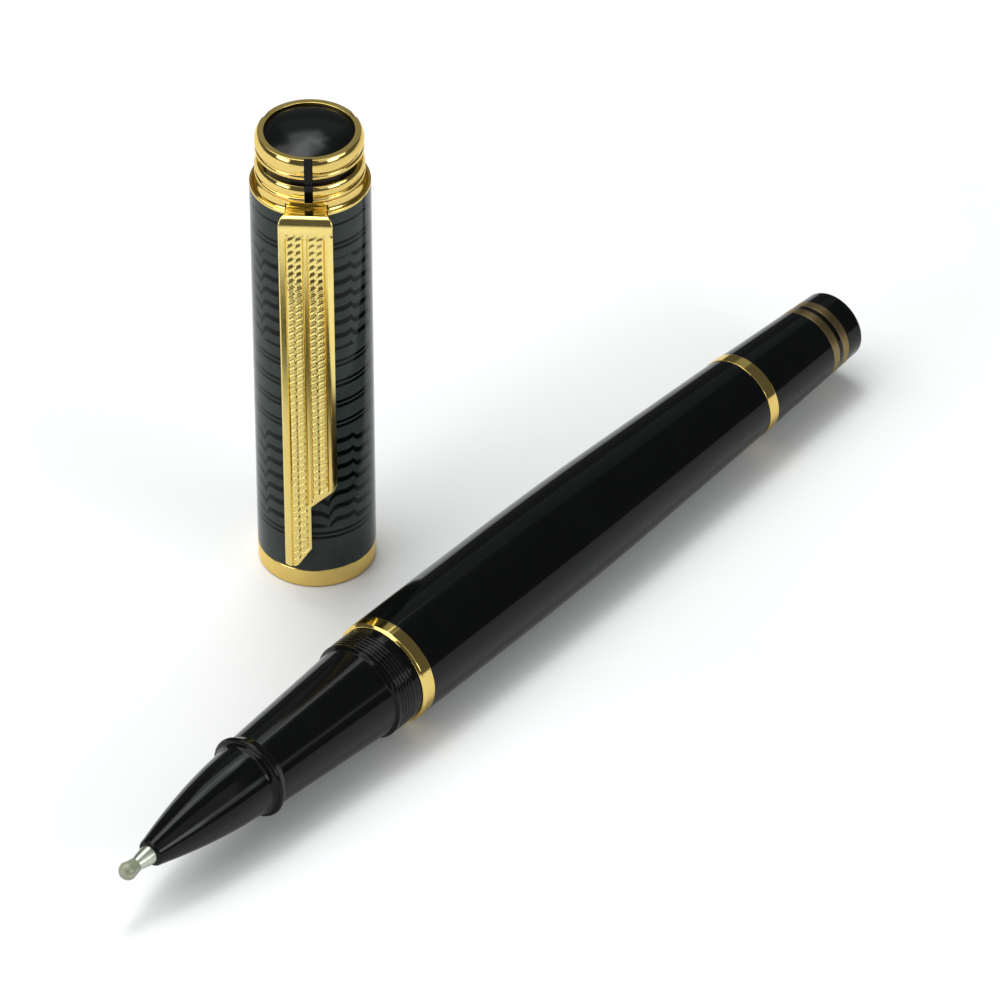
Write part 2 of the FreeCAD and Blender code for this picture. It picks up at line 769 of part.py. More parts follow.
def build_finial():
    """The stack on top of the cap: collar, slotted rings, black core and jewel, held by one screw."""
    collar = turned("cap_collar", CAP_PLACE, [
        ("tube_top", "screw_hole_radius"),
        ("tube_top", "cap_radius"),
        ("collar_edge_at", "cap_radius"),
        arc("collar_edge_at", "collar_valley_radius", "collar_bead_at", "collar_bead_radius"),
        arc("collar_top", "collar_neck_radius", "collar_sweep_at", "collar_sweep_radius"),
        ("collar_top", "screw_hole_radius"),
    ])
    slot_cut(collar, "notch", [
        ("tube_top - slot_width", "notch_back"),
        ("tube_top - slot_width", "notch_end"),
        ("notch_top", "notch_end"),
        ("notch_top", "notch_back"),
    ], "notch_width")
    lower = turned("finial_lower_ring", FINIAL_PLACE, [
        ("collar_top", "ring_hub_radius"),
        ("collar_top", "lower_bead_root_radius"),
        arc("lower_valley_at", "lower_bead_root_radius", "lower_bead_at", "lower_bead_radius"),
        arc("lower_ring_top", "lower_top_radius", "lower_band_at", "lower_band_radius"),
        ("lower_ring_top", "ring_hub_radius"),
    ])
    slots_at_thirds(lower, "collar_top", "lower_ring_top")
    turned("finial_core", CAP_PLACE, [
        ("collar_top", "screw_hole_radius"),
        ("collar_top", "ring_hub_radius"),
        ("lower_ring_top", "ring_hub_radius"),
        ("lower_ring_top", "core_radius"),
        ("bezel_at", "core_radius"),
        ("bezel_at", "screw_hole_radius"),
    ])
    bezel = turned("finial_bezel", FINIAL_PLACE, [
        ("bezel_at", "screw_hole_radius"),
        ("bezel_at", "bezel_foot_radius"),
        arc("bezel_valley_at", "bezel_valley_radius", "bezel_bead_at", "bezel_bead_radius"),
        arc("bezel_top", "bezel_top_radius", "bezel_band_at", "bezel_band_radius"),
        ("bezel_top", "jewel_radius"),
        ("jewel_seat_at", "jewel_radius"),
        ("jewel_seat_at", "screw_hole_radius"),
    ])
    slots_at_thirds(bezel, "bezel_at", "bezel_top")
    turned("finial_jewel", CAP_PLACE, [
        ("jewel_seat_at", "0"),
        ("jewel_seat_at", "jewel_radius"),
        ("jewel_edge_at", "jewel_radius"),
        arc("jewel_crown", "0", "jewel_dome_at", "jewel_dome_radius"),
    ])
    turned("finial_screw", CAP_PLACE, [
        ("screw_head_at", "0"),
        ("screw_head_at", "screw_head_radius"),
        ("bulkhead_at", "screw_head_radius"),
        ("bulkhead_at", "screw_shank_radius"),
        ("screw_top", "screw_shank_radius"),
        ("screw_top", "0"),
    ])
    build_slot_inlays()


def build_slot_inlays():
    """Black strips on the floors of the six slots, three in each ring."""
    body = new_body("slot_inlays", FINIAL_PLACE)
    strips = []
    for name, bottom, top in (("lower", "collar_top", "lower_ring_top"), ("upper", "bezel_at", "bezel_top")):
        strips.append(add_pad(body, name, [
            (bottom, "slot_floor_radius"),
            (bottom, "inlay_radius"),
            (top, "inlay_radius"),
            (top, "slot_floor_radius"),
        ], "slot_width"))
    repeat_at_thirds(body, strips)


def build_clip():
    """The pocket clip: a tang screwed under the finial, and the sprung blade that hangs from it."""
    tang = milled("clip_tang", CAP_PLACE, [
        ("tang_bottom", "tang_back"),
        ("tang_bottom", "tang_end"),
        ("tang_top", "tang_end"),
        ("tang_top", "tang_back"),
    ], "tang_width")
    doc.recompute()
    before = tang.Shape.Volume
    hole = new_sketch(tang, "YZ_Plane", "hole")
    upwards = FreeCAD.Vector(0, 0, 1)
    hole.addGeometry(Part.Circle(FreeCAD.Vector(0, 0, 0), upwards, number("screw_hole_radius")), False)
    hole.addConstraint(Sketcher.Constraint("Coincident", 0, 3, -1, 1))
    radius = hole.addConstraint(Sketcher.Constraint("Radius", 0, number("screw_hole_radius")))
    hole.setExpression("Constraints[%d]" % radius, cells("screw_hole_radius"))
    bore = tang.newObject("PartDesign::Pocket", "clip_tang_bore")
    bore.Profile = hole
    bore.Type = "ThroughAll"
    bore.Reversed = True
    require_cut(tang, before, "hole")

    blade = milled("clip_blade", CAP_PLACE, [
        ("clip_shoulder", "clip_shoulder_inner"),
        ("clip_foot", "clip_foot_inner"),
        ("clip_foot", "clip_foot_outer"),
        ("clip_bend_at", "clip_bend_outer"),
        arc("tang_top", "clip_crown_inner", "clip_arch_at", "clip_arch_outer"),
        ("neck_bottom", "clip_crown_inner"),
    ], "clip_width")
    add_pad(blade, "neck", [
        ("neck_bottom", "neck_start"),
        ("neck_bottom", "neck_end"),
        ("tang_top", "neck_end"),
        ("tang_top", "neck_start"),
    ], "tang_width")
    doc.recompute()
    before = blade.Shape.Volume
    face = new_sketch(blade, "XY_Plane", "face")
    draw_outline(face, [
        ("clip_hip_at", "0 - clip_side"),
        arc("clip_hip_corner_at", "clip_hip_corner_out", "clip_hip_round_at", "clip_hip_round_out"),
        ("clip_crotch_at", "clip_crotch_out"),
        ("clip_toe_corner_at", "clip_crotch_out"),
        ("clip_toe_at", "clip_toe_out"),
        ("clip_below", "clip_toe_out"),
        ("clip_below", "0 - clip_clear"),
        ("clip_hip_at", "0 - clip_clear"),
    ])
    draw_outline(face, [
        ("clip_heel_at", "clip_side"),
        ("clip_heel_at", "clip_clear"),
        ("clip_below", "clip_clear"),
        ("clip_below", "clip_heel_out"),
        ("clip_toe_at", "clip_heel_out"),
    ])
    trim = blade.newObject("PartDesign::Pocket", "clip_blade_trim")
    trim.Profile = face
    trim.Type = "ThroughAll"
    trim.SideType = "Symmetric"
    require_cut(blade, before, "trim")


def write_pieces():
    """Checks every object, then writes one file for each sub-part."""
    doc.recompute()
    for item in doc.Objects:
        if "Invalid" in item.State or "Error" in item.State:
            raise RuntimeError("%s failed: %s" % (item.Name, item.State))
    os.makedirs("parts", exist_ok=True)
    for label, piece in PIECES.items():
        shape = piece.Shape
        if shape.isNull() or not shape.isValid() or shape.Volume <= 0:
            raise RuntimeError(label + " has no valid solid")
        shape.exportStep(os.path.join("parts", label + ".step"))
        print("%-20s %8.2f mm3, %d solid(s)" % (label, shape.Volume, len(shape.Solids)))


build_writing_end()
build_refill()
build_section()
build_barrel()
build_tail()
build_cap_shells()
build_finial()
build_clip()
write_pieces()
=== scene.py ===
"""Looks of the rollerball pen and its cap: turned pieces at full smoothness, the clip's relief,
lacquer, plating and resin, and the studio round them. Everything is in metres, in the row frame."""
import json
import math

import bmesh
import bpy
import numpy as np
from mathutils import Matrix, Vector


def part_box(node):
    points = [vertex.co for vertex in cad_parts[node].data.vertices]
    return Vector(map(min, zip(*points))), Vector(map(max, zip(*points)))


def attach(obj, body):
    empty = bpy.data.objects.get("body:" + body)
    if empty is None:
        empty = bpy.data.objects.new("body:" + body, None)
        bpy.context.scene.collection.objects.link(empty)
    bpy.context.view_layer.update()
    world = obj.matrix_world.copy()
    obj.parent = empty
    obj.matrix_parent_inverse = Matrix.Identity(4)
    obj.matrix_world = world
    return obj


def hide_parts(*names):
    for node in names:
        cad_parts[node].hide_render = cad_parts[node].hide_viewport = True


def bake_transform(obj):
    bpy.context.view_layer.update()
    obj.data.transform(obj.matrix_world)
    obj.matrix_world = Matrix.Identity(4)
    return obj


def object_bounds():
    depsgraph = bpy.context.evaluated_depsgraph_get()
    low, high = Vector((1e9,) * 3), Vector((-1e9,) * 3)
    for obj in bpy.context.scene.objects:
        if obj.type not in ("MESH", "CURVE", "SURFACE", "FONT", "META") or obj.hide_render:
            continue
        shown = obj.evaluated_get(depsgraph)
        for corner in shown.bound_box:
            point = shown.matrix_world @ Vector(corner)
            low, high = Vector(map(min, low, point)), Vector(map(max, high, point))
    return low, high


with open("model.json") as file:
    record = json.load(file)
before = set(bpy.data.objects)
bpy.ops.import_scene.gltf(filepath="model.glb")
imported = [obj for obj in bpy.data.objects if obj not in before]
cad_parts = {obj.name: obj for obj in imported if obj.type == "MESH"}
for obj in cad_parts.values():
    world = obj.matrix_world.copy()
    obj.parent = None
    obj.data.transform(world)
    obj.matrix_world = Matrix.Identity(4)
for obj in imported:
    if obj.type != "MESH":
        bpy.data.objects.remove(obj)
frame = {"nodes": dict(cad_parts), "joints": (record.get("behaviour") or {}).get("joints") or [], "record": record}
cad_low, cad_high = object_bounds()

MM = 0.001
UP = Vector((0, 0, 1))
record = frame["record"]
MOUNTS = {mount["name"]: mount for mount in record["mounts"]}
JOINTS = {joint["name"]: joint for joint in frame["joints"]}
BODY_OF = {node: body for body, nodes in record["behaviour"]["bodies"].items() for node in nodes}
SLOT_OF = {part["node"]: part["material_slot"] for part in record["subparts"]}


class Line:
    """A line that pieces are turned about, and the side where their CAD meshes have a seam."""

    def __init__(self, start, along, seam):
        self.start = start
        self.along = along
        self.seam = seam
        self.side = along.cross(seam)

    def point(self, station, radius, angle):
        """A point by its place along the line, its distance from it and its angle from the seam."""
        out = self.seam * math.cos(angle) + self.side * math.sin(angle)
        return self.start + self.along * station + out * radius


grip_mount = Vector(MOUNTS["barrel_grip"]["pos_m"])
mouth_mount = Vector(MOUNTS["cap_mouth"]["pos_m"])
POINT_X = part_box("refill_point")[0].x
HINGE = Vector(JOINTS["clip_flex"]["axis"])  # along the clip's width, to its left seen from outside
CLIP_OUT = UP.cross(HINGE)
CLIP_RIGHT = -HINGE
PEN = Line(Vector((POINT_X, grip_mount.y, grip_mount.z)), Vector((1, 0, 0)), Vector((0, 1, 0)))
CAP = Line(Vector((mouth_mount.x, mouth_mount.y, 0)), UP, HINGE)


# ---------------------------------------------------------------- outlines of turned pieces

CORNER_TURN = math.radians(24)  # a sharper turn than this is an edge of the piece, not a curve
STRAIGHT_TURN = math.radians(0.6)
EDGE_ROUND = 0.05 * MM
WELD = 1e-7


def outlines_of(node, line):
    """The outlines (station, radius) of a turned CAD node in the half-plane of its seam."""
    cut = bmesh.new()
    cut.from_mesh(frame["nodes"][node].data)
    bmesh.ops.remove_doubles(cut, verts=cut.verts, dist=WELD)
    geometry = cut.verts[:] + cut.edges[:] + cut.faces[:]
    found = bmesh.ops.bisect_plane(
        cut, geom=geometry, dist=5 * WELD, plane_co=line.start, plane_no=line.side
    )["geom_cut"]
    spans = []
    for edge in found:
        if not isinstance(edge, bmesh.types.BMEdge):
            continue
        ends = []
        for vertex in edge.verts:
            place = vertex.co - line.start
            ends.append((place.dot(line.along), place.dot(line.seam)))
        (s0, r0), (s1, r1) = ends
        if max(r0, r1) < 5 * WELD:
            continue
        if min(r0, r1) < 0:  # the edge crosses the axis, so it ends there
            s_axis = s0 + (s1 - s0) * r0 / (r0 - r1)
            ends = [(s_axis, 0.0) if r < 0 else (s, r) for s, r in ends]
        spans.append(tuple((round(s / WELD) * WELD, round(max(r, 0) / WELD) * WELD) for s, r in ends))
    cut.free()
    return chained(spans)


def chained(spans):
    """Joins spans into outlines. Each is (points, closed)."""
    neighbours = {}
    for a, b in spans:
        if a != b:
            neighbours.setdefault(a, set()).add(b)
            neighbours.setdefault(b, set()).add(a)
    outlines = []
    while neighbours:
        loose = [point for point, near in neighbours.items() if len(near) == 1]
        start = min(loose or neighbours)
        points, here = [start], start
        while neighbours.get(here):
            onward = min(neighbours[here])
            neighbours[here].discard(onward)
            neighbours[onward].discard(here)
            for point in (here, onward):
                if not neighbours[point]:
                    del neighbours[point]
            here = onward
            points.append(here)
        closed = points[0] == points[-1]
        outlines.append((simplified(points[:-1] if closed else points, closed), closed))
    return outlines


def simplified(points, closed):
    """Drops points that lie on a straight stretch."""
    kept = []
    count = len(points)
    for index, point in enumerate(points):
        if not closed and index in (0, count - 1):
            kept.append(point)
            continue
        before = Vector(kept[-1] if kept else points[index - 1])
        after = Vector(points[(index + 1) % count])
        here = Vector(point)
        if (here - before).length < WELD or (after - here).length < WELD:
            continue
        if (here - before).angle(after - here) > STRAIGHT_TURN / 3:
            kept.append(point)
    return kept


def refined(points, closed):
    """Bends the chords of round stretches into curves and rounds the edges a little."""
    places = [Vector(point) for point in points]
    count = len(places)
    turns, tangents = [], []
    for index, here in enumerate(places):
        if not closed and index in (0, count - 1):
            turns.append(math.pi)
            tangents.append(None)
            continue
        back = here - places[index - 1]
        on = places[(index + 1) % count] - here
        turns.append(back.angle(on))
        if back.length > 2.5 * on.length:
            tangents.append(back.normalized())
        elif on.length > 2.5 * back.length:
            tangents.append(on.normalized())
        else:
            tangents.append((back.normalized() * on.length + on.normalized() * back.length).normalized())
    round_here = [STRAIGHT_TURN < turn < CORNER_TURN for turn in turns]
    result = []
    for index in range(count if closed else count - 1):
        start, end = places[index], places[(index + 1) % count]
        after = (index + 1) % count
        chord = end - start
        if (round_here[index] or round_here[after]) and chord.length > 0.04 * MM:
            way = chord.normalized()
            first = tangents[index] if round_here[index] else None
            last = tangents[after] if round_here[after] else None
            if turns[index] <= STRAIGHT_TURN:
                first = way
            if turns[after] <= STRAIGHT_TURN:
                last = way
            first = first or (2 * last.dot(way) * way - last)
            last = last or (2 * first.dot(way) * way - first)
            parts = max(2, min(4, round(first.angle(last) / math.radians(4))))
            for part in range(parts):
                result.append(hermite(start, end, first, last, part / parts))
            continue
        result.append(start)
    if not closed:
        result.append(places[-1])
    return [tuple(point) for point in result]


def hermite(start, end, first, last, share):
    """A point of the cubic from start to end that leaves and arrives along two unit tangents."""
    length = (end - start).length
    t, t2, t3 = share, share**2, share**3
    return (
        start * (2 * t3 - 3 * t2 + 1)
        + first * (t3 - 2 * t2 + t) * length
        + end * (3 * t2 - 2 * t3)
        + last * (t3 - t2) * length
    )


def eased(points, closed):
    """Replaces each sharp corner by a small curve, with a holding point on either side of it."""
    places = [Vector(point) for point in points]
    count = len(places)
    result = []
    for index, here in enumerate(places):
        if not closed and index in (0, count - 1):
            result.append(tuple(here))
            continue
        back = places[index - 1] - here
        on = places[(index + 1) % count] - here
        turn = math.pi - back.angle(on)
        if turn < CORNER_TURN or here.y < WELD:
            result.append(tuple(here))
            continue
        reach = min(EDGE_ROUND, 0.3 * back.length, 0.3 * on.length)
        first, last = here + back.normalized() * reach, here + on.normalized() * reach
        result.append(tuple(here + back.normalized() * 1.5 * reach))
        for share in (0, 0.25, 0.5, 0.75, 1):
            a = first.lerp(here, share)
            b = here.lerp(last, share)
            result.append(tuple(a.lerp(b, share)))
        result.append(tuple(here + on.normalized() * 1.5 * reach))
    return result


# ---------------------------------------------------------------- making pieces

SMOOTH_ANGLE = math.radians(40)


def as_mesh(name, vertices, faces):
    """A mesh with outward faces, smooth except at its edges."""
    mesh = bpy.data.meshes.new(name)
    mesh.from_pydata([tuple(vertex) for vertex in vertices], [], faces)
    tidy = bmesh.new()
    tidy.from_mesh(mesh)
    bmesh.ops.remove_doubles(tidy, verts=tidy.verts, dist=WELD / 10)
    bmesh.ops.recalc_face_normals(tidy, faces=tidy.faces)
    tidy.to_mesh(mesh)
    tidy.free()
    mesh.shade_smooth()
    mesh.set_sharp_from_angle(angle=SMOOTH_ANGLE)
    return mesh


def turned(name, outlines, line, segments, relief=None):
    """The mesh swept by outlines about a line. relief(station, radius, angle) is added to each radius."""
    vertices, faces = [], []
    angles = [2 * math.pi * index / segments for index in range(segments)]
    for points, closed in outlines:
        first = len(vertices)
        for station, radius in points:
            for angle in angles:
                extra = relief(station, radius, angle) if relief else 0
                vertices.append(line.point(station, radius + extra, angle))
        rows = len(points)
        for row in range(rows if closed else rows - 1):
            below = first + row * segments
            above = first + (row + 1) % rows * segments
            for index in range(segments):
                after = (index + 1) % segments
                faces.append((below + index, below + after, above + after, above + index))
    return as_mesh(name, vertices, faces)


def box_mesh(corner_sets):
    """One mesh of several boxes, each given by its eight corners, the lower four first."""
    vertices, faces = [], []
    for corners in corner_sets:
        first = len(vertices)
        vertices.extend(corners)
        for face in ((0, 1, 2, 3), (7, 6, 5, 4), (0, 4, 5, 1), (1, 5, 6, 2), (2, 6, 7, 3), (3, 7, 4, 0)):
            faces.append(tuple(first + corner for corner in face))
    return as_mesh("cutter", vertices, faces)


def without(mesh, cutter_mesh):
    """The mesh with another one cut out of it."""
    target = bpy.data.objects.new("target", mesh)
    cutter = bpy.data.objects.new("cutter", cutter_mesh)
    for item in (target, cutter):
        bpy.context.scene.collection.objects.link(item)
    difference = target.modifiers.new("cut", "BOOLEAN")
    difference.operation = "DIFFERENCE"
    difference.solver = "EXACT"
    difference.object = cutter
    depsgraph = bpy.context.evaluated_depsgraph_get()
    result = bpy.data.meshes.new_from_object(target.evaluated_get(depsgraph))
    for item in (target, cutter):
        bpy.data.objects.remove(item)
    result.shade_smooth()
    result.set_sharp_from_angle(angle=SMOOTH_ANGLE)
    return result


def add_piece(name, mesh, *nodes):
    """Shows a mesh in place of CAD nodes, with their finish."""
    piece = bpy.data.objects.new(name, mesh)
    bpy.context.scene.collection.objects.link(piece)
    slot = SLOT_OF[nodes[0]]
    mesh.materials.clear()
    mesh.materials.append(FINISHES[slot])
    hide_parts(*nodes)
    return piece


def refinish(piece, material):
    """Gives a piece a finish of its own in place of its slot's."""
    piece.data.materials.clear()
    piece.data.materials.append(material)


def turned_piece(node, line, segments, cutter=None, relief=None, reshape=None):
    """Shows a turned CAD node again, smoother and with softened edges."""
    outlines = []
    for points, closed in outlines_of(node, line):
        if reshape:
            points = reshape(points)
        outlines.append((eased(refined(points, closed), closed), closed))
    mesh = turned(node + "_turned", outlines, line, segments, relief)
    if cutter:
        mesh = without(mesh, cutter)
    piece = add_piece(node + "_turned", mesh, node)
    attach(piece, BODY_OF[node])
    return piece


# ---------------------------------------------------------------- finishes


class Term:
    """A shader value that Python arithmetic turns into Math nodes."""

    def __init__(self, tree, socket):
        self.tree = tree
        self.socket = socket

    def math(self, operation, *others):
        node = self.tree.nodes.new("ShaderNodeMath")
        node.operation = operation
        for index, item in enumerate((self, *others)):
            if isinstance(item, Term):
                self.tree.links.new(item.socket, node.inputs[index])
            else:
                node.inputs[index].default_value = item
        return Term(self.tree, node.outputs[0])

    def __add__(self, other):
        return self.math("ADD", other)

    def __sub__(self, other):
        return self.math("SUBTRACT", other)

    def __mul__(self, other):
        return self.math("MULTIPLY", other)

    def __truediv__(self, other):
        return self.math("DIVIDE", other)

    def between(self, low, high, soft):
        """1 where the value lies between two others, falling to 0 over a soft edge."""
        rise = self.step(low - soft, low + soft)
        fall = self.step(high - soft, high + soft)
        return rise - fall

    def step(self, low, high):
        """0 below low, 1 above high, and smooth between."""
        node = self.tree.nodes.new("ShaderNodeMapRange")
        node.interpolation_type = "SMOOTHSTEP"
        self.tree.links.new(self.socket, node.inputs["Value"])
        node.inputs["From Min"].default_value = low
        node.inputs["From Max"].default_value = high
        return Term(self.tree, node.outputs["Result"])

    def scaled(self, low, high):
        """The value, from 0 to 1, stretched to run from low to high."""
        return self * (high - low) + low


class Finish:
    """A material, with the few node groups that every finish here is made of."""

    def __init__(self, name, **constants):
        self.material = bpy.data.materials.new(name)
        self.material.use_nodes = True
        self.tree = self.material.node_tree
        self.shader = self.tree.nodes["Principled BSDF"]
        for socket, value in constants.items():
            self.shader.inputs[socket.replace("_", " ")].default_value = value

    def place(self, axis=None, origin=None):
        """The position on the piece, in metres, or its part along an axis from an origin."""
        node = self.tree.nodes.new("ShaderNodeTexCoord")
        if axis is None:
            return node.outputs["Object"]
        shift = self.tree.nodes.new("ShaderNodeVectorMath")
        shift.operation = "SUBTRACT"
        self.tree.links.new(node.outputs["Object"], shift.inputs[0])
        shift.inputs[1].default_value = origin
        dot = self.tree.nodes.new("ShaderNodeVectorMath")
        dot.operation = "DOT_PRODUCT"
        self.tree.links.new(shift.outputs[0], dot.inputs[0])
        dot.inputs[1].default_value = axis
        return Term(self.tree, dot.outputs["Value"])

    def noise(self, size, stretch=(1, 1, 1), detail=3.0):
        """Smooth noise from 0 to 1 with features of a size in metres, stretched along each axis."""
        mapping = self.tree.nodes.new("ShaderNodeMapping")
        mapping.inputs["Scale"].default_value = [1 / (size * by) for by in stretch]
        self.tree.links.new(self.place(), mapping.inputs["Vector"])
        node = self.tree.nodes.new("ShaderNodeTexNoise")
        node.inputs["Scale"].default_value = 1.0
        node.inputs["Detail"].default_value = detail
        self.tree.links.new(mapping.outputs[0], node.inputs["Vector"])
        return Term(self.tree, node.outputs["Fac"])

    def blend(self, share, first, second):
        """A colour between two, by a share."""
        node = self.tree.nodes.new("ShaderNodeMix")
        node.data_type = "RGBA"
        self.tree.links.new(share.socket, node.inputs["Factor"])
        for socket, colour in ((node.inputs["A"], first), (node.inputs["B"], second)):
            if isinstance(colour, Term):
                self.tree.links.new(colour.socket, socket)
            else:
                socket.default_value = (*colour, 1)
        return Term(self.tree, node.outputs["Result"])

    def curve(self, term, points):
        """The value of a curve through points (place, height, whether it is a corner)."""
        node = self.tree.nodes.new("ShaderNodeFloatCurve")
        line = node.mapping.curves[0]
        while len(line.points) < len(points):
            line.points.new(0.5, 0.5)
        for point, (place, height, corner) in zip(line.points, points):
            point.location = place, height
            point.handle_type = "VECTOR" if corner else "AUTO"
        node.mapping.update()
        self.tree.links.new(term.socket, node.inputs["Value"])
        return Term(self.tree, node.outputs["Value"])

    def set(self, socket, term):
        self.tree.links.new(term.socket, self.shader.inputs[socket])

    def bump(self, height, depth, strength=1.0):
        """Raises the surface by height, from 0 to 1, times depth in metres."""
        node = self.tree.nodes.new("ShaderNodeBump")
        node.inputs["Distance"].default_value = depth
        node.inputs["Strength"].default_value = strength
        self.tree.links.new(height.socket, node.inputs["Height"])
        self.tree.links.new(node.outputs["Normal"], self.shader.inputs["Normal"])


def plain_finish(name, dark, light, roughness, grain, depth, stretch=(1, 1, 1), **constants):
    """A finish whose colour and roughness wander between two values, with a fine grain on it."""
    finish = Finish(name, **constants)
    finish.set("Base Color", finish.blend(finish.noise(8 * grain, stretch), dark, light))
    finish.set("Roughness", finish.noise(5 * grain, stretch).scaled(*roughness))
    finish.bump(finish.noise(grain, stretch), depth, 0.3)
    return finish.material


LACQUER = {"IOR": 1.5, "Specular_IOR_Level": 0.16}

# The cap's pattern. Heights are in mm from the cap's mouth, and turns in degrees from the clip.
CAP_LINES = 1.78  # from one combed row to the next
DARK_ROW = (0.3, 0.69)  # the dark share of each row
PANELS = ((8.4, 20.5), (32.4, 44.7))
DOUBLE_LINES = (7.3, 22.3, 25.05, 27.8, 30.55, 46.25)
LINE_INNER, LINE_OUTER = 0.12, 0.5  # where each line of a pair starts and ends, from their middle
TOP_LINE = (48.95, 49.25)
ROW_BLUR, PANEL_BLUR, LINE_BLUR = 0.07, 0.05, 0.04
COMB_SIXTH = 60
DOWN_CUSP = 13.0  # a place where the rows are drawn down to a point
COMB_RISE = 1.5
COMB_DRIFT = 5.5  # how far the points stray from even spacing
COMBED_ROW = (  # one sixth of a combed row, from 0 to 1 along and up, and whether it has a corner there
    (0, 0, True), (0.05, 0.5, False), (0.1, 0.78, False), (0.16, 0.88, False), (0.26, 0.85, False),
    (0.35, 0.88, False), (0.417, 1, True), (0.46, 0.72, False), (0.55, 0.5, False),
    (0.7, 0.5, False), (0.88, 0.42, False), (0.95, 0.25, False), (1, 0, True),
)


def patterned_lacquer():
    """Two-tone lacquer on the cap: panels of combed waves between sets of double lines."""
    finish = Finish("patterned_lacquer", IOR=1.5, Specular_IOR_Level=0.1)
    out = finish.place(CLIP_OUT, CAP.start)
    right = finish.place(CLIP_RIGHT, CAP.start)
    height = finish.place(UP, CAP.start) / MM
    turn = right.math("ARCTAN2", out) * (180 / math.pi)

    drift = (turn * (math.pi / 90)).math("SINE") * COMB_DRIFT
    along = ((turn - drift - DOWN_CUSP) / COMB_SIXTH).math("FRACT")
    wave = finish.curve(along, COMBED_ROW) * COMB_RISE
    row = ((height - wave) / CAP_LINES).math("FRACT")
    combed = row.between(*DARK_ROW, ROW_BLUR)
    lower_panel, upper_panel = (height.between(*panel, PANEL_BLUR) for panel in PANELS)
    dark = combed * (lower_panel + upper_panel)
    for at in DOUBLE_LINES:
        dark = dark + height.between(at - LINE_OUTER, at - LINE_INNER, LINE_BLUR)
        dark = dark + height.between(at + LINE_INNER, at + LINE_OUTER, LINE_BLUR)
    dark = dark + height.between(*TOP_LINE, LINE_BLUR)
    mottle = finish.noise(1.4 * MM)
    light_tone = finish.blend(mottle, (0.027, 0.036, 0.034), (0.042, 0.053, 0.050))
    finish.set("Base Color", finish.blend(dark, light_tone, (0.0018, 0.0024, 0.0023)))
    finish.set("Roughness", finish.noise(2 * MM).scaled(0.07, 0.13))
    finish.bump(dark * -0.6 + finish.noise(0.3 * MM) * 0.15, 0.01 * MM, 0.2)
    return finish.material


def clear_resin():
    """The soft translucent bead that seals the point."""
    finish = Finish(
        "clear_resin", IOR=1.47, Transmission_Weight=0.55, Subsurface_Weight=0.35,
        Subsurface_Scale=0.0006, Coat_Weight=0.3, Coat_Roughness=0.08,
    )
    finish.set("Base Color", finish.blend(finish.noise(0.5 * MM), (0.36, 0.40, 0.27), (0.55, 0.58, 0.43)))
    finish.set("Roughness", finish.noise(0.3 * MM).scaled(0.12, 0.26))
    finish.bump(finish.noise(0.25 * MM), 0.03 * MM, 0.35)
    return finish.material


def stamped_gold():
    """The clip's gold plate, softer in its reflections than the turned rings."""
    return plain_finish("stamped_gold", (0.84, 0.66, 0.21), (0.94, 0.76, 0.28), (0.14, 0.19),
                        0.25 * MM, 0.004 * MM, Metallic=1.0, Specular_Tint=(1.0, 0.92, 0.75, 1))


def polished_jewel():
    """The domed black stone of the finial, a little softer in its reflections than the lacquer."""
    return plain_finish("polished_jewel", (0.002, 0.0024, 0.0023), (0.004, 0.0046, 0.0043),
                        (0.15, 0.2), 0.5 * MM, 0.0015 * MM, IOR=1.5, Specular_IOR_Level=0.24)


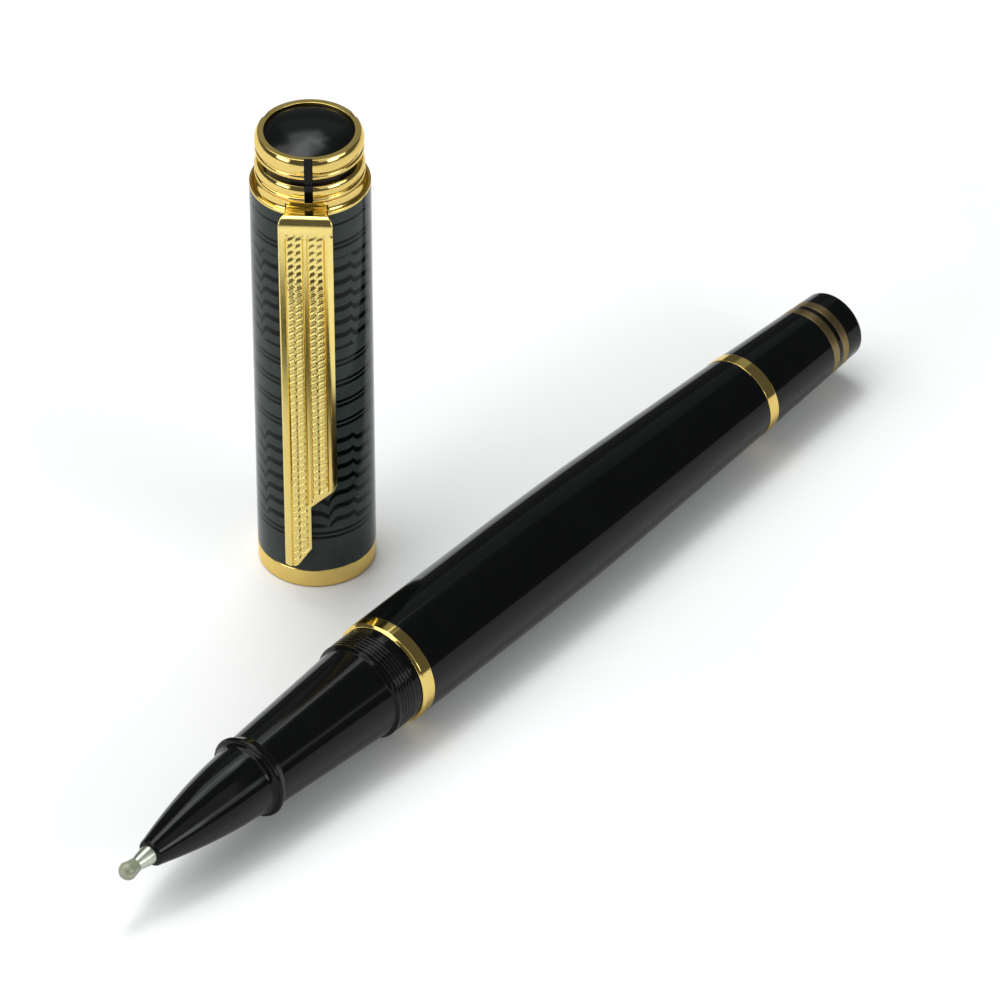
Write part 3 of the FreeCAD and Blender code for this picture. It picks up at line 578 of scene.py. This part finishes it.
def make_finishes():
    """One material for each slot of the record."""
    gold = {"Metallic": 1.0, "Specular_Tint": (1.0, 0.9, 0.7, 1)}
    metal = {"Metallic": 1.0}
    return {
        "black_lacquer": plain_finish("black_lacquer", (0.0018, 0.002, 0.002), (0.0035, 0.0038, 0.0038),
                                      (0.07, 0.1), 0.5 * MM, 0.0015 * MM, **LACQUER),
        "black_plastic": plain_finish("black_plastic", (0.002, 0.0022, 0.0022), (0.004, 0.0043, 0.0042),
                                      (0.09, 0.13), 0.35 * MM, 0.002 * MM, **LACQUER),
        "patterned_lacquer": patterned_lacquer(),
        "gold_plate": plain_finish("gold_plate", (0.72, 0.52, 0.15), (0.82, 0.62, 0.21),
                                   (0.07, 0.13), 0.4 * MM, 0.002 * MM, **gold),
        "antique_gold": plain_finish("antique_gold", (0.16, 0.115, 0.05), (0.27, 0.20, 0.10),
                                     (0.3, 0.45), 0.25 * MM, 0.01 * MM, **gold),
        "turned_brass": plain_finish("turned_brass", (0.58, 0.42, 0.18), (0.72, 0.55, 0.26),
                                     (0.18, 0.32), 0.12 * MM, 0.006 * MM, (1, 6, 6), **metal),
        "spring_steel": plain_finish("spring_steel", (0.42, 0.42, 0.43), (0.6, 0.6, 0.61),
                                     (0.2, 0.35), 0.1 * MM, 0.004 * MM, **metal),
        "refill_steel": plain_finish("refill_steel", (0.55, 0.55, 0.56), (0.7, 0.7, 0.71),
                                     (0.16, 0.28), 0.15 * MM, 0.004 * MM, (8, 1, 1), **metal),
        "nickel_silver": plain_finish("nickel_silver", (0.42, 0.45, 0.37), (0.58, 0.61, 0.52),
                                      (0.26, 0.38), 0.08 * MM, 0.003 * MM, (1, 5, 5), **metal),
        "carbide": plain_finish("carbide", (0.22, 0.22, 0.23), (0.32, 0.32, 0.33),
                                (0.1, 0.2), 0.05 * MM, 0.002 * MM, **metal),
        "clear_resin": clear_resin(),
        "white_plastic": plain_finish("white_plastic", (0.68, 0.68, 0.65), (0.8, 0.8, 0.77),
                                      (0.35, 0.5), 0.3 * MM, 0.01 * MM),
        "dark_plastic": plain_finish("dark_plastic", (0.012, 0.012, 0.013), (0.025, 0.025, 0.027),
                                     (0.3, 0.45), 0.3 * MM, 0.01 * MM),
        "ink_fibre": plain_finish("ink_fibre", (0.008, 0.008, 0.03), (0.02, 0.02, 0.07),
                                  (0.6, 0.85), 0.06 * MM, 0.03 * MM, (8, 1, 1)),
    }


# ---------------------------------------------------------------- the pen and the cap

THREAD_FROM, THREAD_TO = 37.6 * MM, 40.3 * MM
THREAD_PITCH, THREAD_DEPTH, THREAD_WIDTH = 0.45 * MM, 0.07 * MM, 0.3 * MM
THREAD_ROWS = 96
THREAD_FADE = 0.3 * MM  # over which the groove runs in and out
THREAD_WALL = 5 * MM  # surfaces nearer the axis than this are inside the grip


def thread_land(points):
    """The grip's outline with its ring grooves taken out and rows put in for a screw thread."""
    wall = max(radius for station, radius in points)
    plain, rows_in = [], False
    for station, radius in points:
        if THREAD_FROM - 0.02 * MM < station < THREAD_TO and radius > wall - 0.3 * MM:
            if not rows_in:
                step = (THREAD_TO - THREAD_FROM) / THREAD_ROWS
                rows = [(THREAD_FROM + step * row, wall) for row in range(THREAD_ROWS + 1)]
                forward = plain and plain[-1][0] < station
                plain.extend(rows if forward else rows[::-1])
                rows_in = True
            continue
        plain.append((station, radius))
    return plain


def thread_relief(station, radius, angle):
    """How far a helical groove cuts in at a station and an angle."""
    if not THREAD_FROM < station < THREAD_TO or radius < THREAD_WALL:
        return 0
    across = ((station - THREAD_FROM) / THREAD_PITCH - angle / (2 * math.pi)) % 1 - 0.5
    groove = max(0.0, 1 - abs(across) * 2 * THREAD_PITCH / THREAD_WIDTH)
    ends = min(1.0, (station - THREAD_FROM) / THREAD_FADE, (THREAD_TO - station) / THREAD_FADE)
    return -THREAD_DEPTH * groove * ends


def slot_box(angle, half_width, inner, outer, bottom, top):
    """The corners of a box that reaches outward from the cap's axis, at an angle from the clip."""
    out = CLIP_OUT * math.cos(angle) + CLIP_RIGHT * math.sin(angle)
    across = UP.cross(out)
    corners = []
    for height in (bottom, top):
        for radius, side in ((inner, -1), (outer, -1), (outer, 1), (inner, 1)):
            corners.append(CAP.start + out * radius + across * side * half_width + UP * height)
    return corners


def build_pen():
    """The turned pieces of the pen that show."""
    for node, segments in (
        ("barrel_shell", 224), ("centre_ring", 256), ("rear_ring", 224), ("tail_shell", 208),
        ("tail_band_one", 208), ("tail_band_two", 208), ("nose_cone", 224), ("refill_point", 96),
        ("tip_bead", 96), ("writing_ball", 64),
    ):
        turned_piece(node, PEN, segments)
    turned_piece("grip_section", PEN, 256, relief=thread_relief, reshape=thread_land)


SLOT_HALF_WIDTH, SLOT_FLOOR = 0.46 * MM, 5.2 * MM
NOTCH_HALF_WIDTH, NOTCH_TOP = 2.3 * MM, 51.5 * MM


def slot_turn():
    """How far round from the clip the front slot is, read from the strips on the slots' floors."""
    out, right = 0.0, 0.0
    for vertex in frame["nodes"]["slot_inlays"].data.vertices:
        place = vertex.co - CAP.start
        if place.dot(CLIP_OUT) > 4 * MM:
            out += place.dot(CLIP_OUT)
            right += place.dot(CLIP_RIGHT)
    return math.atan2(right, out)


def build_cap():
    """The turned pieces of the cap that show, with the slots in the finial and the collar's notch."""
    for node in ("cap_tube", "cap_lip_ring", "finial_core"):
        turned_piece(node, CAP, 256)
    refinish(turned_piece("finial_jewel", CAP, 256), polished_jewel())
    thirds = [slot_turn() + math.radians(turn) for turn in (0, 120, 240)]
    for node in ("finial_lower_ring", "finial_bezel"):
        low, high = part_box(node)
        boxes = [
            slot_box(turn, SLOT_HALF_WIDTH, SLOT_FLOOR, 7 * MM, low.z - MM, high.z + MM) for turn in thirds
        ]
        turned_piece(node, CAP, 256, box_mesh(boxes))
    low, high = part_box("cap_collar")
    notch = slot_box(0, NOTCH_HALF_WIDTH, 3.1 * MM, 8 * MM, low.z - MM, NOTCH_TOP)
    turned_piece("cap_collar", CAP, 256, box_mesh([notch]))


CLIP_THICK = 0.8 * MM
CLIP_CROWN_OUT = 7.3 * MM  # where the bend meets the flat tang
BEND_DROP = 0.9 * MM  # how far below the blade's corner the face starts to curve
TANG_END = 4.0 * MM
STILL_TO, SPRUNG_FROM = 6.9 * MM, 7.4 * MM  # the strip flexes between these distances out
TANG_HALF_WIDTH, CROWN_HALF_WIDTH = 2.2 * MM, 2.4 * MM
CLIP_ROW, CLIP_COLUMN = 0.08 * MM, 0.05 * MM  # the grid of the face
BEND_ROWS, TANG_ROWS = 15, 8
CLIP_EDGE = 0.11 * MM  # the rounding of the strip's edges
TOE_ROUND = 0.35 * MM
RIGHT_ROLL, RIGHT_ROLL_DROP = 0.6 * MM, 0.24 * MM
RELIEF_FLOOR, BAR_HEIGHT = -0.12 * MM, 0.12 * MM
LEFT_CHANNEL, RIGHT_CHANNEL = (-2.03 * MM, -0.38 * MM), (0.25 * MM, 1.9 * MM)
TONGUE_CHANNEL_END = -0.3 * MM
TONGUE_BORDER = 0.3 * MM
SHALLOW_FROM_TO, SHALLOW_LOSS = (39 * MM, 46 * MM), 0.6  # the channels get shallower towards the top
CHANNEL_WALL = 0.05 * MM
CHANNEL_ROOM = (-0.02 * MM, 0.05 * MM)
RELIEF_FADE = (0.3 * MM, 1.2 * MM)  # below the bend
TOE_FADE = (0.35 * MM, 0.6 * MM)  # above the foot
CLIP_GROOVES = ((-2.18, -2.03), (-0.38, -0.22), (0.1, 0.25), (1.9, 2.02))  # in mm across the face
GROOVE_DEPTH, GROOVE_BORDER, GROOVE_RUN_OUT = 0.13 * MM, 0.4 * MM, 0.1 * MM
BAR_PITCH, BAR_RISE = 0.95 * MM, 0.6
BAR_TOP, BAR_END = 0.7, 0.9  # shares of the pitch where a bar is highest, and where it has dropped
BAR_SIDES = (0.04, 0.2)
DOT_RADIUS, DOT_DEPTH = 0.15 * MM, 0.09 * MM
DIAGONAL_BAND = 0.85 * MM

# Where the parts of the clip's outline are looked for.
SAME_PLACE, SAME_FACE = 0.01 * MM, 0.02 * MM
RIGHT_EDGE_FROM, LEFT_EDGE_TO = -1.7 * MM, -2.3 * MM
TOE_HEIGHT, CROTCH_LEFT_OF = 5 * MM, 0.5 * MM
SLOPE_STEP = 0.05 * MM


def soft_step(value, low, high):
    """0 below low, 1 above high, and smooth between."""
    share = np.clip((value - low) / (high - low), 0, 1)
    return share * share * (3 - 2 * share)


class ClipShape:
    """The outline of the clip's front face, read from its CAD blade, and the relief stamped on it."""

    def __init__(self):
        places = []
        for vertex in frame["nodes"]["clip_blade"].data.vertices:
            place = vertex.co - CAP.start
            places.append((place.dot(CLIP_RIGHT), place.dot(CLIP_OUT), place.z))
        places = np.array(places)
        self.foot = places[:, 2].min()
        self.top = places[:, 2].max()
        self.bend_out = places[:, 1].max()
        self.bend = places[places[:, 1] > self.bend_out - SAME_PLACE][:, 2].mean()
        self.round_from = self.bend - BEND_DROP
        at_foot = places[places[:, 2] < self.foot + SAME_PLACE]
        self.foot_out = at_foot[:, 1].max()
        self.side = places[:, 0].max()
        front = places[np.abs(places[:, 1] - self.out(places[:, 2])) < SAME_FACE]
        front = front[front[:, 2] < self.bend]
        self.right_chain = self.chain(front[front[:, 0] > RIGHT_EDGE_FROM])
        self.left_chain = self.chain(front[front[:, 0] < LEFT_EDGE_TO])
        inner = self.right_chain[self.right_chain[:, 2] > self.foot + TOE_HEIGHT]
        self.crotch = inner[inner[:, 0] < CROTCH_LEFT_OF][:, 2].max()
        self.hip = inner[inner[:, 0] > self.side - SAME_FACE][:, 2].min()

    def out(self, z):
        """How far out the straight front face is at a height."""
        return self.foot_out + (self.bend_out - self.foot_out) * (z - self.foot) / (self.bend - self.foot)

    def chain(self, points):
        """Outline points from the foot up, one at each height."""
        points = points[np.argsort(points[:, 2])]
        return points[np.r_[True, np.diff(points[:, 2]) > SAME_PLACE]]

    def sides(self, z):
        """The left and right edges of the face at heights."""
        left = np.interp(z, self.left_chain[:, 2], self.left_chain[:, 0])
        right = np.interp(z, self.right_chain[:, 2], self.right_chain[:, 0])
        below = np.clip(TOE_ROUND - (z - self.foot), 0, TOE_ROUND)
        inset = TOE_ROUND - np.sqrt(TOE_ROUND**2 - below**2)
        return left + inset, right - inset

    def edge_distance(self, w, z):
        """The distance of face points from the left and right edges, square to those edges."""
        left, right = self.sides(z)
        left_up, right_up = self.sides(z + SLOPE_STEP)
        left_down, right_down = self.sides(z - SLOPE_STEP)
        left_slope = (left_up - left_down) / (2 * SLOPE_STEP)
        right_slope = (right_up - right_down) / (2 * SLOPE_STEP)
        return (w - left) / np.hypot(1, left_slope), (right - w) / np.hypot(1, right_slope)

    def relief(self, w, z):
        """How far face points stand out of the plain face."""
        from_left, from_right = self.edge_distance(w, z)
        tongue = z < self.crotch
        on_diagonal = (z >= self.crotch) & (z < self.hip)
        fade = soft_step(self.round_from - z, *RELIEF_FADE)
        keep = fade * soft_step(z - self.foot, *TOE_FADE)
        height = np.zeros_like(w)
        left_end = np.where(tongue, TONGUE_CHANNEL_END, LEFT_CHANNEL[1])
        left_room = from_right - np.where(tongue, TONGUE_BORDER, 0)
        right_room = np.where(on_diagonal | tongue, from_right - DIAGONAL_BAND, MM)
        for low, high, room in ((LEFT_CHANNEL[0], left_end, left_room), (*RIGHT_CHANNEL, right_room)):
            inside = soft_step(w, low, low + CHANNEL_WALL) * soft_step(-w, -high, -high + CHANNEL_WALL)
            inside = inside * soft_step(room, *CHANNEL_ROOM) * keep
            inside = inside * (1 - SHALLOW_LOSS * soft_step(z, *SHALLOW_FROM_TO))
            height = height + inside * (RELIEF_FLOOR + self.bars(w - low, z, (high - low) / 2))
        for low, high in CLIP_GROOVES:
            middle, half = (low + high) / 2 * MM, (high - low) / 2 * MM
            shape = np.clip(1 - ((w - middle) / half) ** 2, 0, 1)
            inner_room = np.where(tongue, -1, from_right - GROOVE_BORDER)
            room = np.where(w > -1 * MM, inner_room, MM)
            height = height - GROOVE_DEPTH * shape * fade * soft_step(room, 0, GROOVE_RUN_OUT)
        return height + self.rolled(from_left, from_right, z)

    def bars(self, along, z, width):
        """Two columns of slanting bars with a dot between each pair."""
        share = (along / width) % 1
        phase = ((z - BAR_RISE * share * width) / BAR_PITCH) % 1
        ridge = soft_step(phase, 0, BAR_TOP) - soft_step(phase, BAR_TOP, BAR_END)
        ridge = ridge * soft_step(share, *BAR_SIDES) * soft_step(1 - share, *BAR_SIDES)
        dot_z = (z / BAR_PITCH % 1 - 0.5) * BAR_PITCH
        dot = np.clip(1 - (np.hypot(along - width, dot_z) / DOT_RADIUS) ** 2, 0, 1)
        return BAR_HEIGHT * ridge - DOT_DEPTH * dot

    def rolled(self, from_left, from_right, z):
        """The rounding of the face's edges, fuller along the straight right side."""
        nearest = np.minimum(np.minimum(from_left, from_right), z - self.foot)
        reach = np.clip(1 - nearest / CLIP_EDGE, 0, 1)
        drop = -CLIP_EDGE * (1 - np.sqrt(np.clip(1 - reach * reach, 0, 1)))
        full = soft_step(z, self.hip - 1.5 * MM, self.hip) * soft_step(self.round_from - z, 0.2 * MM, MM)
        roll = np.clip(1 - from_right / RIGHT_ROLL, 0, 1) ** 2
        return np.minimum(drop, -RIGHT_ROLL_DROP * roll * full + drop * (1 - full))


def clip_rows(shape):
    """Rows up the clip, round its bend and in along the tang. Each is (how far out, height, the
    normal's outward and upward parts, left edge, right edge, whether it carries the relief)."""
    rows = []
    face_rows = round((shape.round_from - shape.foot) / CLIP_ROW) + 1
    for z in np.linspace(shape.foot, shape.round_from, face_rows):
        left, right = shape.sides(z)
        rows.append((shape.out(z), z, 1.0, 0.0, left, right, True))
    reach, rise = shape.out(shape.round_from) - CLIP_CROWN_OUT, shape.top - shape.round_from
    for turn in np.linspace(0, math.pi / 2, BEND_ROWS)[1:]:
        half = shape.side + (CROWN_HALF_WIDTH - shape.side) * (1 - math.cos(turn)) ** 1.5
        place = CLIP_CROWN_OUT + reach * math.cos(turn), shape.round_from + rise * math.sin(turn)
        normal = Vector((rise * math.cos(turn), reach * math.sin(turn))).normalized()
        rows.append((*place, *normal, -half, half, False))
    for out in np.linspace(CLIP_CROWN_OUT, TANG_END, TANG_ROWS)[1:]:
        share = (CLIP_CROWN_OUT - out) / (CLIP_CROWN_OUT - TANG_END)
        half = CROWN_HALF_WIDTH + (TANG_HALF_WIDTH - CROWN_HALF_WIDTH) * min(1, 4 * share)
        rows.append((out, shape.top, 0.0, 1.0, -half, half, False))
    return rows


def build_clip():
    """The sprung clip and its tang as one bent strip, with the stamped relief on its face."""
    shape = ClipShape()
    columns = np.linspace(-shape.side, shape.side, round(2 * shape.side / CLIP_COLUMN) + 1)
    vertices, faces = [], []
    flank = CLIP_THICK - CLIP_EDGE
    for out, z, normal_out, normal_up, left, right, stamped in clip_rows(shape):
        w = np.clip(columns, left, right)
        lift = shape.relief(w, np.full_like(w, z)) if stamped else rounded_sides(w, left, right)
        strip = list(zip(w, lift))
        strip += [(right, -flank), (right - CLIP_EDGE, -CLIP_THICK)]
        strip += [(left + CLIP_EDGE, -CLIP_THICK), (left, -flank)]
        ring = len(strip)
        for across, height in strip:
            far, high = out + normal_out * height, z + normal_up * height
            vertices.append(CAP.start + CLIP_RIGHT * across + CLIP_OUT * far + UP * high)
    rows = len(vertices) // ring
    for row in range(rows - 1):
        for index in range(ring):
            after = (index + 1) % ring
            first, above = row * ring, (row + 1) * ring
            faces.append((first + index, first + after, above + after, above + index))
    faces.append(tuple(range(ring)))
    faces.append(tuple((rows - 1) * ring + index for index in reversed(range(ring))))
    piece = add_piece("clip_relief", as_mesh("clip_relief", vertices, faces), "clip_blade", "clip_tang")
    refinish(piece, stamped_gold())
    at_top = CAP.start + UP * shape.top
    still, sprung = at_top + CLIP_OUT * STILL_TO, at_top + CLIP_OUT * SPRUNG_FROM
    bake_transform(piece)


def rounded_sides(w, left, right):
    """The rounding of the bend's and tang's edges."""
    reach = np.clip(1 - np.minimum(w - left, right - w) / CLIP_EDGE, 0, 1)
    return -CLIP_EDGE * (1 - np.sqrt(np.clip(1 - reach * reach, 0, 1)))


def dress_cad_nodes():
    """Gives every CAD node that stays visible its slot's finish."""
    for node, item in frame["nodes"].items():
        item.data.materials.clear()
        item.data.materials.append(FINISHES[SLOT_OF[node]])


# ---------------------------------------------------------------- the studio

FORWARD = Vector((0.77265, 0.63483, 0))  # from the camera to the pen, seen from above
RIGHT = FORWARD.cross(UP)
CENTRE = (cad_low + cad_high) / 2
LIGHT_DISTANCE = 0.9
STRIP_TAPER = 0.4  # how much shorter the narrow parts of a strip are, against their width
FLOOR_HALF = 3.0
COOL = (0.95, 1, 0.98)


def lamp_at(name, place, length, width, radiance, colour=(1, 1, 1), along=None):
    """A rectangular light that faces the pen, with its length along a direction if one is given."""
    light = bpy.data.lights.new(name, "AREA")
    light.shape = "RECTANGLE"
    light.size, light.size_y = length, width
    light.energy = radiance * math.pi * length * width
    light.color = colour
    lamp = bpy.data.objects.new(name, light)
    bpy.context.scene.collection.objects.link(lamp)
    back = (place - CENTRE).normalized()
    side = (along or UP.cross(back)).normalized()
    side = (side - back * side.dot(back)).normalized()
    axes = Matrix((side, back.cross(side), back)).transposed()
    lamp.matrix_world = Matrix.Translation(place) @ axes.to_4x4()


def softbox(name, right, forward, up, length, width, radiance, colour=(1, 1, 1)):
    """A light in a direction given to the right, forward and up, as seen from the camera."""
    way = (RIGHT * right + FORWARD * forward + UP * up).normalized()
    lamp_at(name, CENTRE + way * LIGHT_DISTANCE, length, width, radiance, colour)


def strip_light(name, lean, low_x, high_x, widths, radiance, colour=(1, 1, 1)):
    """A soft-edged strip along the pen, at an angle over it from the side that faces the cap."""
    out = Vector((0, math.cos(math.radians(lean)), math.sin(math.radians(lean))))
    for index, width in enumerate(widths):
        place = CENTRE + out * LIGHT_DISTANCE + Vector(((low_x + high_x) / 2, 0, 0))
        length = high_x - low_x - STRIP_TAPER * (widths[-1] - width)
        lamp_at(f"{name}_{index}", place, length, width, radiance / len(widths), colour, PEN.along)


def build_studio():
    """Lights over and behind the pen, a dim world and a pale floor."""
    softbox("key", right=-0.47, forward=-0.05, up=0.88, length=1.0, width=1.0, radiance=2.3)
    softbox("fill", right=0.5, forward=-0.5, up=0.7, length=0.8, width=0.8, radiance=0.65)
    softbox("back_panel", right=-0.07, forward=0.56, up=0.83, length=0.36, width=0.24, radiance=2.2,
            colour=COOL)
    softbox("back_wall", right=0, forward=0.78, up=0.62, length=0.6, width=0.35, radiance=0.2,
            colour=COOL)
    strip_light("top_strip", lean=75, low_x=0.38, high_x=0.60, widths=(0.015, 0.035, 0.07),
                radiance=6.0, colour=COOL)
    strip_light("top_panel", lean=75, low_x=-0.05, high_x=0.42, widths=(0.09, 0.18, 0.28),
                radiance=8.5, colour=COOL)
    strip_light("side_strip", lean=158.5, low_x=0.36, high_x=0.48, widths=(0.015, 0.035, 0.07),
                radiance=4.0, colour=COOL)
    strip_light("side_panel", lean=158.5, low_x=-0.1, high_x=0.40, widths=(0.07, 0.14, 0.22),
                radiance=6.5, colour=COOL)
    softbox("left_strip", right=-0.78, forward=-0.56, up=0.30, length=0.40, width=0.26, radiance=4.2,
            colour=COOL)
    softbox("right_strip", right=0.72, forward=-0.62, up=0.31, length=0.36, width=0.24, radiance=4.2,
            colour=COOL)
    world = bpy.data.worlds.new("studio")
    bpy.context.scene.world = world
    world.use_nodes = True
    background = world.node_tree.nodes["Background"]
    background.inputs["Color"].default_value = (0.95, 0.97, 1, 1)
    background.inputs["Strength"].default_value = 0.11
    half = FLOOR_HALF
    floor_mesh = bpy.data.meshes.new("floor")
    corners = [(-half, -half, 0), (half, -half, 0), (half, half, 0), (-half, half, 0)]
    floor_mesh.from_pydata(corners, [], [(0, 1, 2, 3)])
    floor = bpy.data.objects.new("floor", floor_mesh)
    bpy.context.scene.collection.objects.link(floor)
    paper = Finish("paper", Roughness=0.9, Specular_IOR_Level=0.1)
    paper.set("Base Color", paper.blend(paper.noise(0.02), (0.9, 0.9, 0.9), (0.92, 0.92, 0.92)))
    floor_mesh.materials.append(paper.material)
    bpy.context.scene.view_settings.view_transform = "Standard"


CAMERA_PLACE = Vector((-0.54294, -0.45932, 0.58403))
CAMERA_DOWN = 0.6773  # below the horizontal, in radians
CAMERA_ROLL = -0.0018
LENS, SENSOR = 303.0, 36  # both in mm


def build_camera():
    """A long lens over the pen's point, looking down at the cap and along the pen."""
    data = bpy.data.cameras.new("camera")
    data.sensor_width = SENSOR
    data.lens = LENS
    data.clip_start, data.clip_end = 0.05, 20
    camera = bpy.data.objects.new("camera", data)
    bpy.context.scene.collection.objects.link(camera)
    ahead = FORWARD.normalized() * math.cos(CAMERA_DOWN) - UP * math.sin(CAMERA_DOWN)
    level = FORWARD.normalized().cross(UP)
    upright = level.cross(ahead)
    side = level * math.cos(CAMERA_ROLL) + upright * math.sin(CAMERA_ROLL)
    top = upright * math.cos(CAMERA_ROLL) - level * math.sin(CAMERA_ROLL)
    axes = Matrix((side, top, -ahead)).transposed()
    camera.matrix_world = Matrix.Translation(CAMERA_PLACE) @ axes.to_4x4()
    bpy.context.scene.camera = camera


FINISHES = make_finishes()
dress_cad_nodes()
build_pen()
build_cap()
build_clip()
build_studio()
build_camera()
